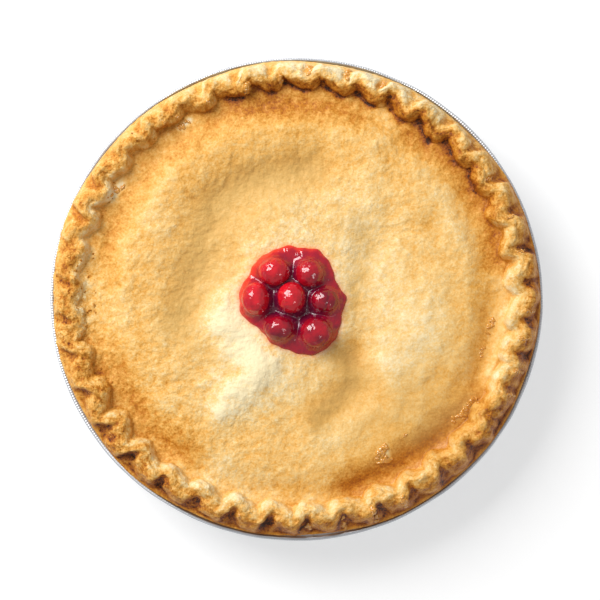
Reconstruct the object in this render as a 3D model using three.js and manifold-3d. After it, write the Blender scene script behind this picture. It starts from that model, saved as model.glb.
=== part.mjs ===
// A whole covered cherry pie in its foil pan, with cherries in sauce on the middle of the lid.
// Millimetres, +Z up. The origin is the centre of the pan's underside.
import * as THREE from 'three';
import { mergeVertices } from 'three/addons/utils/BufferGeometryUtils.js';
import Module from 'manifold-3d';

const wasm = await Module();
wasm.setup();

// Foil pan: the usual 9 inch size, 244 mm over its rolled bead.
const panRimRadius = 122;
const panMouthRadius = 111.3;
const panBaseRadius = 89;
const panDepth = 32.6;
const panCornerRadius = 4;
const panWall = 0.6;
const beadRadius = 1.2;
const beadDrop = 0.9;
const beadSteps = 3;
const beadCurlEnd = Math.PI * 0.62;

// Room left between two pieces that touch.
const fitGap = 0.3;

// Points closer than this are one point.
const mergeDistance = 1e-4;

// Steps round the axis. Each is a whole number of times the next.
const ridgeSteps = 234;
const lidSteps = 78;
const dipSteps = 39;

// Crust: the trimmed edge on the flange, then the fluted ridge, the gully behind it and the lid.
const crustDrift = new THREE.Vector3(0.7, 0.4, 0);
const edgeRadius = 120.1;
const edgeSeatRadius = 118.6;
const edgeUnder = 33.3;
const edgeThickness = 1.5;
const fluteCount = 39;
const fluteReach = 4.6;
const fluteLean = 0.35;
const fluteSideShift = 1.3;
// Slow waves round the rim, each with its strength, its count round the pie and its phase: one
// set moves the flutes out of step, the other makes some reach further than others.
const fluteDrift = [[0.35, 3, 0.8], [0.25, 5, 2.1]];
const fluteUnevenness = [[0.12, 7, 1], [0.1, 4, 0]];
const ridgeMiddleRadius = 111;
const ridgeHalfWidth = 4.6;
const ridgeShoulder = 2.7;
const ridgeFootHeight = 36.4;
const ridgeShoulderHeight = 41.6;
const ridgeTopHeight = 43.4;
const slumpAngle = 184;
const slumpSpread = 15;
const slumpShare = 0.3;
const gullyRadius = 100;
const gullyHeight = 36.2;
const lidShoulderRadius = 84;
const lidShoulderHeight = 39.4;
const lidRingRadii = [92, 81, 68, 54, 39];

// Broad rises and hollows that the filling pushed up in the lid: x, y, spread and height.
const swells = [
  { x: -2, y: 2, spread: 34, height: 2.6 },
  { x: -42, y: 44, spread: 24, height: -1.6 },
  { x: -58, y: 6, spread: 20, height: -1.2 },
  { x: 6, y: 70, spread: 18, height: -1.0 },
  { x: -24, y: -38, spread: 22, height: 1.1 },
  { x: 62, y: -16, spread: 26, height: 1.5 },
  { x: 26, y: -48, spread: 20, height: -1.1 },
];

// Cherries: place, width, depth, height, how far each is turned, how far it stands above the
// lowest one, and how wide the sauce lies outside it.
const cherries = [
  { name: 'cherry_centre', x: -2.4, y: 0.8, size: [14.2, 15.8, 14.6], turn: 4, lift: 1.6, lip: 2 },
  { name: 'cherry_upper_left', x: -11.2, y: 13.7, size: [15.8, 14, 14], turn: -12, lift: 0.2, lip: 3 },
  { name: 'cherry_upper_right', x: 6.5, y: 12.9, size: [14, 13.8, 13.8], turn: 30, lift: 0.3, lip: 5.2 },
  { name: 'cherry_left', x: -20, y: 0.2, size: [14.2, 16.2, 14.4], turn: 0, lift: 0.8, lip: 1.6 },
  { name: 'cherry_right', x: 13.7, y: -0.6, size: [14.4, 12.4, 12.4], turn: 4, lift: 0, lip: 3.4 },
  { name: 'cherry_lower_left', x: -8.3, y: -14.4, size: [15.4, 12.8, 13], turn: 10, lift: 0, lip: 2.2 },
  { name: 'cherry_lower_right', x: 9.6, y: -16.2, size: [16, 15.4, 14.4], turn: 20, lift: 0.6, lip: 2.6 },
];
const cherryAround = 11;
const cherryBands = 8;
const dimpleDepth = 0.9;
const dimpleSpread = 0.5;

// Sauce: it lies in a dip of its own outline, and runs on in a thin layer under the cherries.
const dipDepth = 5.2;
const dipFloorShare = 0.72;
const dipShares = [1, 0.86, 0.7, 0.4];
const sauceUnderCherry = 1.1;
const sauceEdge = 0.6;
const sauceRise = 2.6;
const sauceRoundness = 5;
const hullLooks = 24;
const hullHalfTurn = Math.PI / 3;

const materials = {
  foil: new THREE.MeshStandardMaterial({ color: 0xc4c6c9, roughness: 0.32, metalness: 1 }),
  crust: new THREE.MeshStandardMaterial({ color: 0xe9bd7c, roughness: 0.6, metalness: 0 }),
  sauce: new THREE.MeshStandardMaterial({ color: 0x8e0a1c, roughness: 0.12, metalness: 0 }),
  cherry: new THREE.MeshStandardMaterial({ color: 0xc3131f, roughness: 0.15, metalness: 0 }),
};

function polarPoint(radius, angle, height) {
  return new THREE.Vector3(radius * Math.cos(angle), radius * Math.sin(angle), height);
}

function sumOfWaves(waves, angle) {
  return waves.reduce(
    (sum, [strength, count, phase]) => sum + strength * Math.sin(count * angle + phase),
    0,
  );
}

// The two ends of the bevel between the base and the wall, for one face of the pan.
function cornerPoints(baseRadius, floor, slope) {
  const turn = Math.PI / 2 - slope;
  const reach = panCornerRadius * Math.tan(turn / 2);
  const start = new THREE.Vector2(baseRadius - reach, floor);
  const end = new THREE.Vector2(
    baseRadius + reach * Math.cos(turn),
    floor + reach * Math.sin(turn),
  );
  return [start, end];
}

const wallSlope = Math.atan2(panMouthRadius - panBaseRadius, panDepth);
const innerProfile = [
  ...cornerPoints(panBaseRadius, panWall, wallSlope),
  new THREE.Vector2(panMouthRadius, panDepth),
];

function makePan() {
  const centre = new THREE.Vector2(panRimRadius - beadRadius, panDepth - beadDrop);
  const bead = new THREE.Path();
  bead.absarc(centre.x, centre.y, beadRadius, -Math.PI, beadCurlEnd, false);
  const profile = [
    new THREE.Vector2(0, 0),
    ...cornerPoints(panBaseRadius + panWall, 0, wallSlope),
    new THREE.Vector2(panMouthRadius + panWall, panDepth - panWall),
    ...bead.getPoints(beadSteps),
    new THREE.Vector2(centre.x - beadRadius, panDepth),
    ...innerProfile.slice().reverse(),
    new THREE.Vector2(0, panWall),
  ];
  const geometry = new THREE.LatheGeometry(profile, lidSteps, Math.PI / 2);
  return geometry.rotateX(Math.PI / 2);
}

// How far the cherries and their lips of sauce reach from the axis, square to a direction.
function reachAlong(direction) {
  const reaches = cherries.map(({ x, y, size, lip }) => {
    const radius = (size[0] + size[1]) / 4 + lip;
    return x * Math.cos(direction) + y * Math.sin(direction) + radius;
  });
  return Math.max(...reaches);
}

// The sauce's outline, stretched round the cherries and their lips like a skin.
function outlineRadius(angle) {
  let nearest = Infinity;
  for (let look = -hullLooks; look <= hullLooks; look += 1) {
    const aside = (look / hullLooks) * hullHalfTurn;
    nearest = Math.min(nearest, reachAlong(angle + aside) / Math.cos(aside));
  }
  return nearest;
}

// The lid's height where the sauce leaves it alone.
function lidHeight(x, y) {
  const radius = Math.hypot(x, y);
  const shoulder = 1 - THREE.MathUtils.smoothstep(radius, lidShoulderRadius, gullyRadius);
  let height = gullyHeight + (lidShoulderHeight - gullyHeight) * shoulder;
  for (const swell of swells) {
    const away = Math.hypot(x - swell.x, y - swell.y) / swell.spread;
    height += swell.height * Math.exp(-away * away) * shoulder;
  }
  return height;
}

const dipFloor = lidHeight(0, 0) - dipDepth;
const sauceLevel = lidHeight(0, 0) + sauceRise;

// The floor of the dip, which is level in the middle and climbs to the lid at the outline.
function dipHeight(x, y, share) {
  const climb = THREE.MathUtils.smoothstep(share, dipFloorShare, 1);
  return THREE.MathUtils.lerp(dipFloor, lidHeight(x, y), climb);
}

// How far the fluting pushes the ridge outwards, from -1 to 1. It leans, as pinched dough does.
function fluteWave(angle) {
  const phase = fluteCount * angle + sumOfWaves(fluteDrift, angle);
  return Math.sin(phase - fluteLean * Math.sin(phase));
}

// 1 on the stretch that slumped in the oven, falling to 0 away from it.
function slump(angle) {
  const away = THREE.MathUtils.radToDeg(angle) - slumpAngle;
  return Math.exp(-((away / slumpSpread) ** 2));
}

function ridgeRadius(angle) {
  const reach = fluteReach * (1 + sumOfWaves(fluteUnevenness, angle));
  return ridgeMiddleRadius + reach * (1 - slumpShare * slump(angle)) * fluteWave(angle);
}

function ring(steps, place) {
  const points = [];
  for (let step = 0; step < steps; step += 1) {
    points.push(place((step / steps) * Math.PI * 2));
  }
  return points;
}

// A ring under the crust, round the pan's axis.
function underRing(radius, height) {
  return ring(lidSteps, (angle) => polarPoint(radius, angle, height));
}

// The angle between the ridge's wandering middle and a circle round the axis.
function ridgeTilt(angle) {
  const step = Math.PI / ridgeSteps;
  const rise = ridgeRadius(angle + step) - ridgeRadius(angle - step);
  return Math.atan2(rise, 2 * step * ridgeRadius(angle));
}

// A ring along the ridge, offset to one side of its middle, and never past the edge.
function ridgeRing(offset, height) {
  return ring(ridgeSteps, (angle) => {
    const radius = Math.min(ridgeRadius(angle) + offset, edgeRadius - edgeThickness);
    const sideways = -Math.sign(offset) * fluteSideShift * Math.sin(ridgeTilt(angle));
    const turned = angle + sideways / radius;
    const sink = (height - ridgeFootHeight) * slumpShare * slump(angle);
    return polarPoint(radius, turned, height - sink).add(crustDrift);
  });
}

function edgeRing(height) {
  return ring(ridgeSteps, (angle) => polarPoint(edgeRadius, angle, height).add(crustDrift));
}

function lidRing(radius) {
  return ring(lidSteps, (angle) => {
    const point = polarPoint(radius, angle, 0);
    return point.setZ(lidHeight(point.x, point.y));
  });
}

// A ring in the dip, at a share of the outline, raised above the dip's floor by a height.
function dipRing(share, raised) {
  return ring(dipSteps, (angle) => {
    const point = polarPoint(share * outlineRadius(angle), angle, 0);
    return point.setZ(dipHeight(point.x, point.y, share) + raised);
  });
}

// A ring on top of the sauce, which is level in the middle and rounds off at its edge.
function sauceTopRing(share) {
  return ring(dipSteps, (angle) => {
    const point = polarPoint(share * outlineRadius(angle), angle, 0);
    const edge = lidHeight(point.x, point.y) + fitGap + sauceEdge;
    return point.setZ(THREE.MathUtils.lerp(sauceLevel, edge, share ** sauceRoundness));
  });
}

// Closes a stack of rings into one body, from the middle of the underside, out and up, to the
// middle of the top. Beside a finer ring, each point of a coarse one takes a fan of steps.
function stackRings(rings) {
  const positions = [];
  const indices = [];
  const starts = [];
  for (const points of rings) {
    starts.push(positions.length / 3);
    points.forEach((point) => positions.push(point.x, point.y, point.z));
  }
  for (let level = 0; level + 1 < rings.length; level += 1) {
    const lower = rings[level].length;
    const upper = rings[level + 1].length;
    const steps = Math.max(lower, upper);
    const pick = (start, count, step) => start + (Math.round((step * count) / steps) % count);
    for (let step = 0; step < steps; step += 1) {
      const lowerHere = pick(starts[level], lower, step);
      const lowerNext = pick(starts[level], lower, step + 1);
      const upperHere = pick(starts[level + 1], upper, step);
      const upperNext = pick(starts[level + 1], upper, step + 1);
      if (lowerHere !== lowerNext) {
        indices.push(lowerHere, lowerNext, upperNext);
      }
      if (upperHere !== upperNext) {
        indices.push(lowerHere, upperNext, upperHere);
      }
    }
  }
  const geometry = new THREE.BufferGeometry();
  geometry.setAttribute('position', new THREE.Float32BufferAttribute(positions, 3));
  geometry.setIndex(indices);
  return geometry;
}

function makeCrust() {
  return stackRings([
    [new THREE.Vector3(0, 0, panWall + fitGap)],
    ...innerProfile.map((point) => underRing(point.x - fitGap, point.y + fitGap)),
    underRing(edgeSeatRadius, panDepth + fitGap),
    edgeRing(edgeUnder),
    edgeRing(edgeUnder + edgeThickness),
    ridgeRing(ridgeHalfWidth, ridgeFootHeight),
    ridgeRing(ridgeShoulder, ridgeShoulderHeight),
    ridgeRing(0, ridgeTopHeight),
    ridgeRing(-ridgeShoulder, ridgeShoulderHeight),
    ridgeRing(-ridgeHalfWidth, ridgeFootHeight),
    lidRing(gullyRadius),
    ...lidRingRadii.map(lidRing),
    ...dipShares.map((share) => dipRing(share, 0)),
    [new THREE.Vector3(0, 0, dipFloor)],
  ]);
}

// A cherry's outer surface, larger all round by the given growth: a ball, pressed in at the stem.
function makeCherry({ size, turn }, growth) {
  const geometry = new THREE.SphereGeometry(1, cherryAround, cherryBands);
  geometry.rotateX(Math.PI / 2);
  const place = geometry.getAttribute('position');
  for (let index = 0; index < place.count; index += 1) {
    const point = new THREE.Vector3().fromBufferAttribute(place, index);
    const fromStem = Math.acos(THREE.MathUtils.clamp(point.z, -1, 1)) / dimpleSpread;
    const dimple = dimpleDepth * Math.exp(-fromStem * fromStem);
    place.setXYZ(
      index,
      point.x * (size[0] / 2 + growth),
      point.y * (size[1] / 2 + growth),
      point.z * (size[2] / 2 + growth) - dimple,
    );
  }
  return geometry.rotateZ(THREE.MathUtils.degToRad(turn));
}

// The height of a cherry's middle above the pan's underside.
function cherryHeight({ size, lift }) {
  return dipFloor + fitGap + sauceUnderCherry + fitGap + size[2] / 2 + lift;
}

function toSolid(geometry) {
  const bare = geometry.clone();
  bare.deleteAttribute('normal');
  bare.deleteAttribute('uv');
  const merged = mergeVertices(bare, mergeDistance);
  const mesh = new wasm.Mesh({
    numProp: 3,
    vertProperties: merged.getAttribute('position').array,
    triVerts: Uint32Array.from(merged.getIndex().array),
  });
  return new wasm.Manifold(mesh);
}

function toGeometry(solid) {
  const mesh = solid.getMesh();
  const geometry = new THREE.BufferGeometry();
  geometry.setAttribute('position', new THREE.BufferAttribute(mesh.vertProperties, 3));
  geometry.setIndex(new THREE.BufferAttribute(mesh.triVerts, 1));
  return geometry;
}

function makeSauce() {
  const shares = dipShares.slice().reverse();
  let sauce = toSolid(stackRings([
    [new THREE.Vector3(0, 0, dipFloor + fitGap)],
    ...shares.map((share) => dipRing(share, fitGap)),
    ...dipShares.map((share) => sauceTopRing(share)),
    [new THREE.Vector3(0, 0, sauceLevel)],
  ]));
  for (const cherry of cherries) {
    const socket = makeCherry(cherry, fitGap).translate(cherry.x, cherry.y, cherryHeight(cherry));
    sauce = sauce.subtract(toSolid(socket));
  }
  return toGeometry(sauce);
}

function addPiece(group, name, geometry, material) {
  geometry.computeVertexNormals();
  const mesh = new THREE.Mesh(geometry, material);
  mesh.name = name;
  group.add(mesh);
  return mesh;
}

const pie = new THREE.Group();
addPiece(pie, 'foil_pan', makePan(), materials.foil);
addPiece(pie, 'pie_crust', makeCrust(), materials.crust);

const topping = new THREE.Group();
addPiece(topping, 'cherry_sauce', makeSauce(), materials.sauce);
for (const cherry of cherries) {
  const mesh = addPiece(topping, cherry.name, makeCherry(cherry, 0), materials.cherry);
  mesh.position.set(cherry.x, cherry.y, cherryHeight(cherry));
}
pie.add(topping);

export default pie;
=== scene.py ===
import math
import random

import bmesh
import bpy
import numpy as np
from bpy.props import FloatProperty, FloatVectorProperty, IntProperty, PointerProperty
from mathutils import Matrix, Vector, noise
from mathutils.bvhtree import BVHTree


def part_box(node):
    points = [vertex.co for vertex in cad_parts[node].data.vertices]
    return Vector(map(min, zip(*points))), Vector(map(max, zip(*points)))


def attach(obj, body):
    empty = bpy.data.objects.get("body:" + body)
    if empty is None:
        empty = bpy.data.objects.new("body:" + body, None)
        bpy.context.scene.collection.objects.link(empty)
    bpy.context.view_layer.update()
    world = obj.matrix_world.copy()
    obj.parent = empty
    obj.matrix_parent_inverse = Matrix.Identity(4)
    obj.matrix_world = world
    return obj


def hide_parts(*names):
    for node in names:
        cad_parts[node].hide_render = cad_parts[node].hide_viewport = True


bl_info = {
    "name": "Cherry Pie",
    "version": (1, 0, 0),
    "blender": (4, 5, 0),
    "location": "3D View > Sidebar > Pie",
    "description": "Bakes a whole cherry pie in its foil pan, and sets the light and the camera",
    "category": "Add Mesh",
}

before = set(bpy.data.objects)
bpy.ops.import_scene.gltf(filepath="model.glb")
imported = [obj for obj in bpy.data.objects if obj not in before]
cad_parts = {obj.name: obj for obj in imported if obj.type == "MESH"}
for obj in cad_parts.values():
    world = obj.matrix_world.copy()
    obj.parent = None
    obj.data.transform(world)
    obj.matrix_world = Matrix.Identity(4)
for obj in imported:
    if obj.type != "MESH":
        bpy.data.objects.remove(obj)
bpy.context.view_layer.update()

MM = 0.001

# The pan's size, and the height that the crust starts at, come from the frame.
PAN_LOW, PAN_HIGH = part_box("foil_pan")
PAN_RADIUS = (PAN_HIGH.x - PAN_LOW.x) / 2
CRUST_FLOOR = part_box("pie_crust")[0].z

# The pan's own shape, from its base to the bead.
BASE_RADIUS = PAN_RADIUS - 32.4 * MM
MOUTH_RADIUS = PAN_RADIUS - 10.1 * MM
FLANGE_HEIGHT = PAN_HIGH.z - 0.2 * MM
BEAD_RADIUS = 1.1 * MM
CORNER_RADIUS = 4 * MM
BASE_PANEL_HEIGHT = 0.8 * MM
BASE_RIM_HEIGHT = 0.2 * MM
WALL_RINGS = 10
BEAD_RINGS = 11
PAN_STEPS = 960
FIT_GAP = 0.3 * MM

# The crust lies a little off the pan's centre, and its rim is a little wider than long.
CRUST_DRIFT = np.array([0.0, 0.15]) * MM
RIM_OVALNESS = 0.027
EDGE_RADIUS = 120.1 * MM
EDGE_TOP = 34.7 * MM
EDGE_UNDER = 33.3 * MM
EDGE_SEAT_RADIUS = 117.6 * MM
EDGE_LIP = 0.5 * MM

# Where the flutes run ahead or behind: direction and spread in degrees, and the shift in radians.
FLUTE_START = 1.48
FLUTE_DRIFT = [(182, 38, 2.27), (290, 42, -0.96), (50, 35, -0.44)]

# Slow waves in how far the flutes swing: strength, count round the pie and phase.
FLUTE_UNEVENNESS = [(0.12, 7, 1.0), (0.1, 4, 0.0)]
FLUTE_LEAN = 0.45
FLUTE_SLANT = 0.35
NOTCH_DEPTH_RADIUS = 8 * MM

# The ridge: the middle of its crest, which lies off the crust's own centre, and its slumped part.
RIDGE_MIDDLE = 111.0 * MM
RIDGE_SHIFT = 2.2 * MM
RIDGE_SHIFT_ANGLE = math.radians(104)
RIDGE_FOOT = 36.2 * MM
SLUMP_DIRECTION = 184
SLUMP_SPREAD = 15
SLUMP_SHARE = 0.3

# The lid: its gully, its shoulder, and the broad rises and hollows (x, y, spread, height).
LID_RADIUS = 96 * MM
GULLY_RADIUS = 100 * MM
GULLY_HEIGHT = 36.2 * MM
SHOULDER_RADIUS = 84 * MM
SHOULDER_HEIGHT = 39.4 * MM
SWELLS = np.array([
    (-2, 2, 34, 2.6),
    (-42, 44, 24, -1.6),
    (-58, 6, 20, -1.2),
    (6, 70, 18, -1.0),
    (-24, -38, 22, 1.1),
    (62, -16, 26, 1.5),
    (26, -48, 20, -1.1),
]) * MM

# Smaller folds of the lid, as soft strokes: the points they follow, their width and height.
FOLDS = [
    ([(8, 64), (-25, 57), (-39, 43), (-43, 22), (-54, -8)], 12, -2.8),
    ([(-78, 12), (-68, 48), (-40, 78), (0, 84), (36, 76)], 12, 1.5),
    ([(-2, 28), (-6, 46)], 11, 1.4),
    ([(-16, -34), (-36, -54)], 8, 2.5),
    ([(-34, -14), (-24, -34)], 12, 1.2),
    ([(30, -22), (33, -40), (18, -60)], 8, -2.2),
    ([(44, -34), (60, -22), (66, 2)], 13, 1.8),
    ([(12, -68), (44, -52)], 10, 1.0),
    ([(92, -54), (70, -72), (44, -88), (26, -95)], 7, -2.4),
    ([(97, 0), (96, -24), (90, -42)], 6, -1.4),
    ([(-86, -40), (-62, -74)], 10, -1.0),
    ([(28, 2), (36, 26)], 8, -1.4),
    ([(30, 62), (60, 44), (78, 20)], 13, 1.0),
    ([(96, -38), (103, -20), (105, -6)], 2.4, 1.5),
    ([(-58, 2), (-66, -30)], 12, 0.9),
]

# Where the crust is painted browner (above 0) or paler (below 0), as soft strokes with their widths:
# partly real browning, partly painted shade in the gully and in the hollows of the folds,
# and painted light, paler, on the rises that face the key light.
BROWNING_AND_PAINTED_LIGHT = [
    ([(-96, 24), (-84, 60), (-50, 88), (-10, 94)], 15, 0.14),
    ([(-30, 97), (4, 96), (28, 93)], 7, 0.3),
    ([(58, 84), (80, 66), (94, 44), (100, 20)], 6.5, 0.4),
    ([(92, -52), (72, -68), (46, -83), (28, -92)], 9, 0.42),
    ([(-10, 42), (-30, 36), (-37, 16)], 10, 0.1),
    ([(90, 2), (87, -22), (79, -40)], 7, 0.06),
    ([(-98, -32), (-78, -62), (-56, -74)], 11, 0.26),
    ([(24, -26), (27, -42), (8, -58)], 7, 0.28),
    ([(4, 66), (-27, 60), (-44, 46), (-51, 22), (-58, -6)], 11, 0.14),
    ([(-34, -10), (-16, -36), (-36, -54)], 11, -0.26),
    ([(62, -12), (54, -34)], 14, -0.14),
    ([(72, 8), (70, -20)], 11, -0.08),
    ([(-4, 32), (-4, 46)], 11, -0.06),
    ([(38, 54), (32, 26)], 12, -0.1),
    ([(15, -68), (24, -74)], 9, -0.08),
    ([(84, 30), (70, 50)], 10, -0.1),
    ([(-40, -84), (-20, -92)], 9, -0.12),
    # The next four pale spots are painted highlights, standing in for the sheen of syrup.
    ([(-92, 51), (-87, 57)], 2.2, -0.5),
    ([(-58, 85.5), (-53, 89)], 1.8, -0.5),
    ([(40.5, -79), (41.6, -75), (44.5, -73), (46, -79.5)], 1.1, -0.4),
    ([(78, -60.5), (88.5, -50)], 1.6, -0.25),
    ([(-84, 26), (-76, 40)], 9, -0.1),
]

# Hollows of the lid painted tan rather than golden, mostly as painted shade: points, width and strength.
SHADED_TAN_HOLLOWS = [
    ([(6, 64), (-26, 58), (-43, 44), (-50, 22), (-58, -8)], 11, 0.75),
    ([(24, -28), (28, -42), (10, -58)], 8, 0.65),
    ([(27, 0), (35, 24), (28, 40)], 8, 0.5),
    ([(-66, -16), (-40, -28)], 8, 0.25),
    ([(60, -70), (86, -52)], 6, 0.3),
    ([(34, -64), (66, -54)], 14, 0.2),
    ([(-8, 46), (-30, 36), (-38, 14)], 9, 0.35),
]

# Syrup that bubbled out: the points it lies along, its spread, how many drops and their size.
SYRUP = [
    ([(40.5, -79), (41.6, -75), (44.5, -73)], 1.1, 16, 1.5),
    ([(41, -80.6), (46.5, -79.6)], 0.9, 10, 1.6),
    ([(78, -60.5), (84, -55), (88.5, -50)], 1.8, 26, 1.1),
    ([(95, -17), (97.5, -10)], 1.2, 14, 1.3),
    ([(91.5, -28), (93.5, -22.5)], 0.8, 8, 0.8),
    ([(53, -68.5), (54.5, -66)], 0.8, 5, 0.6),
    ([(-91.5, 51.5), (-87, 56.5)], 1.4, 9, 1.4),
    ([(-58, 85), (-52.5, 89.5)], 1.2, 8, 1.3),
]

# Syrup in the notches of the rim: direction in degrees, first and last radius, drops and size.
RIM_SYRUP_SPREAD = 0.9
RIM_SYRUP = [
    (273, 111, 114, 7, 1.0), (282, 110, 116, 10, 1.1), (290, 110, 117, 14, 1.2), (298, 111, 117, 14, 1.2),
    (336, 114, 118, 9, 0.9), (342, 114, 118, 9, 0.9), (350, 112, 118, 10, 0.9), (357, 113, 118, 9, 0.9),
    (12, 112, 116, 9, 0.9), (21, 112, 115, 7, 0.9), (32, 111, 114, 6, 0.8), (68, 112, 116, 7, 1.4),
    (77, 111, 116, 8, 1.5), (87, 111, 116, 8, 1.5), (94, 107, 110, 10, 1.5), (103, 106, 109, 12, 1.6),
    (114, 106, 108, 6, 0.9), (123, 107, 109, 5, 0.9), (127, 108, 110, 5, 0.8), (255, 110, 113, 5, 0.9),
]

# Least and greatest length, width and thickness of a drop and of a crumb, as shares or millimetres.
DROP_SIZES = [(0.6, 1.6), (0.4, 0.9), (0.35, 0.65)]
CRUMB_SIZES = [(0.4, 1.0), (0.3, 0.7), (0.2, 0.45)]

# Loose crumbs: direction in degrees and how far they spread, first and last radius, how many.
CRUMBS = [(182, 16, 100, 118, 60), (218, 10, 104, 118, 22), (150, 18, 104, 116, 20)]

# Burst bubbles in the rim: x, y and radius in millimetres.
PITS = [
    (-91.0, -70.4, 3.2), (-67.6, -92.8, 3.4), (-96.2, -66.4, 1.6), (-107.5, 8.0, 1.6), (46.5, 95.0, 1.5),
]

# Cherries: how far each is turned, how dark it is, and how wide the sauce lies outside it.
CHERRIES = {
    "cherry_centre": (4, 0.15, 2),
    "cherry_upper_left": (-12, 0.2, 3),
    "cherry_upper_right": (30, 0.5, 5.2),
    "cherry_left": (0, 0.0, 1.6),
    "cherry_right": (4, 1.0, 3.4),
    "cherry_lower_left": (10, 0.85, 2.2),
    "cherry_lower_right": (20, 0.7, 2.6),
}

# Where the sauce ran out further or less far: direction and spread in degrees, and the share.
SAUCE_SWELLS = [
    (0, 8, 0.04), (30, 18, -0.065), (56, 8, -0.02), (98, 13, 0.06), (130, 10, -0.04), (158, 10, -0.025),
    (178, 8, -0.03), (197, 7, 0.03), (228, 14, -0.075), (278, 12, 0.06), (301, 9, -0.045),
]

# How finely the meshes are divided.
LID_CELLS = 200
INNER_RINGS = 34
OUTER_RINGS = 24
TOP_RINGS = INNER_RINGS + OUTER_RINGS
SAUCE_CELLS = 120

# The lights' distance from the pie, and how far the camera stands off its middle.
LIGHT_DISTANCE = 1.4
CAMERA_ASIDE = (1.74 * MM, -0.35 * MM)


def tint(code):
    """A linear colour from a screen colour written as six hexadecimal digits."""
    levels = [int(code[at:at + 2], 16) / 255 for at in (0, 2, 4)]
    return [level / 12.92 if level < 0.04045 else ((level + 0.055) / 1.055) ** 2.4 for level in levels]


def length(name, description, default, low=0.0, high=1.0):
    """A length setting, in metres."""
    return FloatProperty(
        name=name, description=description, default=default, min=low, max=high,
        precision=4, unit="LENGTH",
    )


def colour(name, description, code):
    """A colour setting."""
    return FloatVectorProperty(
        name=name, description=description, default=tint(code), min=0, max=1,
        size=3, subtype="COLOR",
    )


class PIE_PG_pan(bpy.types.PropertyGroup):
    """The foil pan."""
    pleats: IntProperty(name="Pleats", description="Pressed pleats round the wall", default=120, min=12)
    pleat_depth: length("Pleat Depth", "How far each pleat stands out of the wall", 0.8 * MM)
    sheet: length("Sheet", "Thickness of the foil", 0.2 * MM)
    ovalness: FloatProperty(
        name="Ovalness", description="How much wider the pan is than long", default=0.019,
        subtype="FACTOR",
    )
    ticks: IntProperty(name="Bead Ticks", description="Fine crimps round the bead", default=600, min=0)


class PIE_PG_crust(bpy.types.PropertyGroup):
    """The baked crust."""
    flutes: IntProperty(name="Flutes", description="Pinched flutes round the rim", default=39, min=3)
    flute_reach: length("Flute Reach", "How far a flute swings in and out", 2.7 * MM)
    ridge_height: length("Ridge Height", "Height of the fluted ridge over its foot", 7.4 * MM)
    ridge_inside: length("Ridge Inside", "Half width of the ridge on the side of the lid", 5.6 * MM)
    ridge_outside: length("Ridge Outside", "Half width of the ridge on the side of the pan", 8.6 * MM)
    roughness: FloatProperty(
        name="Unevenness", description="Strength of the fine relief of the dough", default=1.0, min=0,
    )


class PIE_PG_topping(bpy.types.PropertyGroup):
    """The cherries and their sauce."""
    dip: length("Dip", "Depth of the lid under the sauce", 5.2 * MM)
    rise: length("Sauce Rise", "How far the sauce stands over the lid", 1.5 * MM)
    cling: length("Cling", "How far the sauce climbs each cherry", 2.3 * MM)


class PIE_PG_colours(bpy.types.PropertyGroup):
    """The colours of the finishes."""
    pale: colour("Pale Crust", "Crust that has hardly browned", "F2E0B4")
    butter: colour("Butter Crust", "Lightly baked crust", "ECC47E")
    golden: colour("Golden Crust", "Golden crust", "E3A84E")
    brown: colour("Brown Crust", "Well browned crust", "C27A18")
    # The dark crust also gives the painted shade in creases and on the ridge's shaded side.
    dark: colour("Dark Crust", "Dark edges and creases", "924806")
    # The tan crust gives the painted shade in the hollows of the lid.
    tan: colour("Tan Crust", "Crust in the hollows of the lid", "CDA55E")
    burnt: colour("Burnt Crust", "Burnt spots", "3A1B08")
    foil: colour("Foil", "Bare aluminium foil", "D4D6DA")
    cherry: colour("Cherry", "Bright side of a cherry", "DE1826")
    cherry_dark: colour("Dark Cherry", "Deep side of a cherry", "7A021E")
    # The thin sauce colour also gives the painted glow along the lit edge of the sauce.
    sauce_thin: colour("Thin Sauce", "Sauce where it thins out", "E8341C")
    sauce: colour("Sauce", "Sauce of middling depth", "AC0622")
    # The deep sauce colour also gives the painted shade in the gaps between the cherries.
    sauce_deep: colour("Deep Sauce", "Deepest sauce", "64062E")


class PIE_PG_stage(bpy.types.PropertyGroup):
    """The light and the camera."""
    view_width: length("View Width", "Width of the view at the pan's rim", 298.8 * MM)
    view_height: length("View Height", "Height of the camera over the rim", 1.5, high=10)
    key_azimuth: FloatProperty(
        name="Key Azimuth", description="Direction of the key light, from +X towards +Y",
        default=math.radians(136), subtype="ANGLE",
    )
    key_elevation: FloatProperty(
        name="Key Elevation", description="Height of the key light", default=math.radians(43),
        subtype="ANGLE",
    )
    key_power: FloatProperty(
        name="Key Power", description="Power of the key light", default=24.5, unit="POWER",
    )
    fill: FloatProperty(
        name="Fill", description="Strength of the light from all round", default=0.36, min=0,
    )


def smoothstep(low, high, value):
    """0 below low, 1 above high, and a soft climb between them."""
    share = np.clip((value - low) / (high - low), 0, 1)
    return share * share * (3 - 2 * share)


def blend(first, second, share):
    """From first to second as share goes from 0 to 1."""
    return first + (second - first) * share


def waves(table, angle):
    """The sum of slow waves round the pie."""
    return sum(strength * np.sin(count * angle + phase) for strength, count, phase in table)


def lumps(points, size, octaves=1, seed=0.0):
    """Smooth noise, about -1 to 1, whose lumps have the given size."""
    places = (points / size + seed).tolist()
    basis = "PERLIN_ORIGINAL"
    return np.array([noise.fractal(place, 1.0, 2.0, octaves, noise_basis=basis) for place in places])


def ovalled(x, y, ovalness):
    """Makes a round outline wider than long by the given share."""
    return x * (1 + ovalness / 3), y * (1 - ovalness * 2 / 3)


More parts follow.
